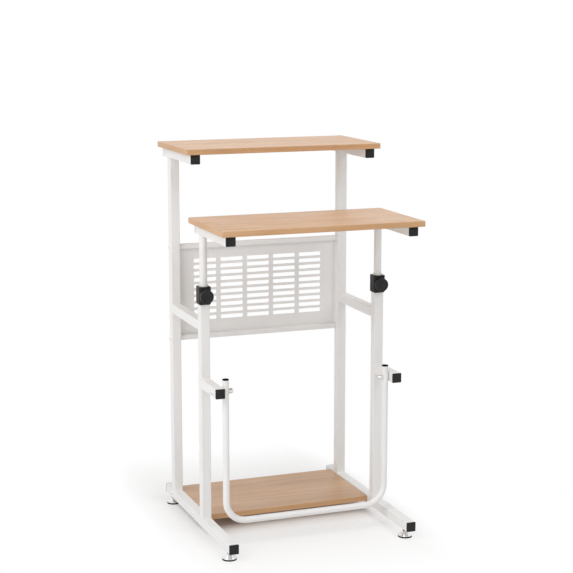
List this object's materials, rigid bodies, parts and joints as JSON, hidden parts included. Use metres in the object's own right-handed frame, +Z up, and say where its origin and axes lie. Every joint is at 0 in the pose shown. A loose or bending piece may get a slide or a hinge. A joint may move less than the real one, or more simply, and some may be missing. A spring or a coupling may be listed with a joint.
{
  "type": "standing desk",
  "caption": "Standing desk on white steel side frames, with a height-adjustable desktop, a raised rear shelf, a slotted back panel, a bottom shelf and a swinging footrest.",
  "frame": {"origin": "on the floor, under the middle of the desk's footprint", "axes": "+X to the user's right, +Y to the back, +Z up; the user stands on the -Y side"},
  "size_m": [0.6, 0.6206, 1.127],
  "materials": {
    "white_paint": "satin",
    "light_wood": "matt laminate",
    "black_plastic": "satin",
    "white_nylon": "satin",
    "zinc_steel": "zinc plated",
    "black_oxide_steel": "black oxide, oiled",
    "black_polyethylene": "smooth",
    "chrome": "polished",
    "black_rubber": "matt"
  },
  "bodies": {
    "frame": {"bottom_shelf_board": "light_wood", "bottom_shelf_screws": "zinc_steel", "clamp_nuts": "zinc_steel", "column_guide_bushes": "white_nylon", "crossbar_bolts": "zinc_steel", "crossbar_end_nuts": "zinc_steel", "foot_nuts": "black_oxide_steel", "foot_rail_plugs": "black_plastic", "footrest_arm_plugs": "black_plastic", "left_clamp_collar": "black_plastic", "left_foot_rail": "white_paint", "left_footrest_arm": "white_paint", "left_front_column": "white_paint", "left_mid_rail": "white_paint", "left_rear_post": "white_paint", "left_shelf_arm": "white_paint", "lower_crossbar": "white_paint", "pivot_bolts": "zinc_steel", "pivot_nuts": "zinc_steel", "right_clamp_collar": "black_plastic", "right_foot_rail": "white_paint", "right_footrest_arm": "white_paint", "right_front_column": "white_paint", "right_mid_rail": "white_paint", "right_rear_post": "white_paint", "right_shelf_arm": "white_paint", "shelf_arm_plugs": "black_plastic", "slotted_back_panel": "white_paint", "upper_crossbar": "white_paint", "upper_shelf_board": "light_wood", "upper_shelf_screws": "zinc_steel"},
    "desk": {"desktop_board": "light_wood", "desktop_screws": "zinc_steel", "desk_arm_plugs": "black_plastic", "lift_tube_guides": "white_nylon", "left_desk_arm": "white_paint", "left_lift_tube": "white_paint", "right_desk_arm": "white_paint", "right_lift_tube": "white_paint"},
    "footrest": {"footrest_bar": "white_paint", "footrest_bar_plugs": "black_polyethylene", "pivot_bushes": "white_nylon"},
    "left_pad": {"left_clamp_pad": "white_nylon"},
    "left_knob": {"left_clamp_knob": "black_plastic", "left_clamp_screw": "zinc_steel"},
    "right_pad": {"right_clamp_pad": "white_nylon"},
    "right_knob": {"right_clamp_knob": "black_plastic", "right_clamp_screw": "zinc_steel"},
    "front_left_foot": {"front_left_foot_pad": "black_rubber", "front_left_foot_dish": "chrome"},
    "front_left_stem": {"front_left_foot_stem": "black_oxide_steel"},
    "front_right_foot": {"front_right_foot_pad": "black_rubber", "front_right_foot_dish": "chrome"},
    "front_right_stem": {"front_right_foot_stem": "black_oxide_steel"},
    "rear_left_foot": {"rear_left_foot_pad": "black_rubber", "rear_left_foot_dish": "chrome"},
    "rear_left_stem": {"rear_left_foot_stem": "black_oxide_steel"},
    "rear_right_foot": {"rear_right_foot_pad": "black_rubber", "rear_right_foot_dish": "chrome"},
    "rear_right_stem": {"rear_right_foot_stem": "black_oxide_steel"}
  },
  "joints": [
    {"name": "desk_lift", "type": "slide", "parent": "frame", "child": "desk", "axis": [0, 0, 1], "range_m": [-0.142, 0.19]},
    {"name": "footrest_swing", "type": "hinge", "parent": "frame", "child": "footrest", "pos_m": [0, -0.16525, 0.4595], "axis": [-1, 0, 0], "range_deg": [-40, 60]},
    {"name": "left_pad_slide", "type": "slide", "parent": "frame", "child": "left_pad", "axis": [0, 1, 0], "range_m": [-0.00126, 0]},
    {"name": "left_knob_turn", "type": "hinge", "parent": "left_pad", "child": "left_knob", "pos_m": [-0.271, -0.04825, 0.716], "axis": [0, 1, 0], "range_deg": [-360, 0]},
    {"name": "right_pad_slide", "type": "slide", "parent": "frame", "child": "right_pad", "axis": [0, 1, 0], "range_m": [-0.00126, 0]},
    {"name": "right_knob_turn", "type": "hinge", "parent": "right_pad", "child": "right_knob", "pos_m": [0.271, -0.04825, 0.716], "axis": [0, 1, 0], "range_deg": [-360, 0]},
    {"name": "front_left_foot_height", "type": "slide", "parent": "frame", "child": "front_left_foot", "axis": [0, 0, -1], "range_m": [0, 0.008]},
    {"name": "front_left_foot_turn", "type": "hinge", "parent": "front_left_foot", "child": "front_left_stem", "pos_m": [-0.271, -0.26425, 0.02], "axis": [0, 0, -1], "range_deg": [0, 2305]},
    {"name": "front_right_foot_height", "type": "slide", "parent": "frame", "child": "front_right_foot", "axis": [0, 0, -1], "range_m": [0, 0.008]},
    {"name": "front_right_foot_turn", "type": "hinge", "parent": "front_right_foot", "child": "front_right_stem", "pos_m": [0.271, -0.26425, 0.02], "axis": [0, 0, -1], "range_deg": [0, 2305]},
    {"name": "rear_left_foot_height", "type": "slide", "parent": "frame", "child": "rear_left_foot", "axis": [0, 0, -1], "range_m": [0, 0.008]},
    {"name": "rear_left_foot_turn", "type": "hinge", "parent": "rear_left_foot", "child": "rear_left_stem", "pos_m": [-0.271, 0.27625, 0.02], "axis": [0, 0, -1], "range_deg": [0, 2305]},
    {"name": "rear_right_foot_height", "type": "slide", "parent": "frame", "child": "rear_right_foot", "axis": [0, 0, -1], "range_m": [0, 0.008]},
    {"name": "rear_right_foot_turn", "type": "hinge", "parent": "rear_right_foot", "child": "rear_right_stem", "pos_m": [0.271, 0.27625, 0.02], "axis": [0, 0, -1], "range_deg": [0, 2305]}
  ],
  "couplings": [
    {"joint": "left_pad_slide", "follows": "left_knob_turn", "m_per_rad": 0.00019894},
    {"joint": "right_pad_slide", "follows": "right_knob_turn", "m_per_rad": 0.00019894},
    {"joint": "front_left_foot_turn", "follows": "front_left_foot_height", "rad_per_m": 5026.5},
    {"joint": "front_right_foot_turn", "follows": "front_right_foot_height", "rad_per_m": 5026.5},
    {"joint": "rear_left_foot_turn", "follows": "rear_left_foot_height", "rad_per_m": 5026.5},
    {"joint": "rear_right_foot_turn", "follows": "rear_right_foot_height", "rad_per_m": 5026.5}
  ]
}
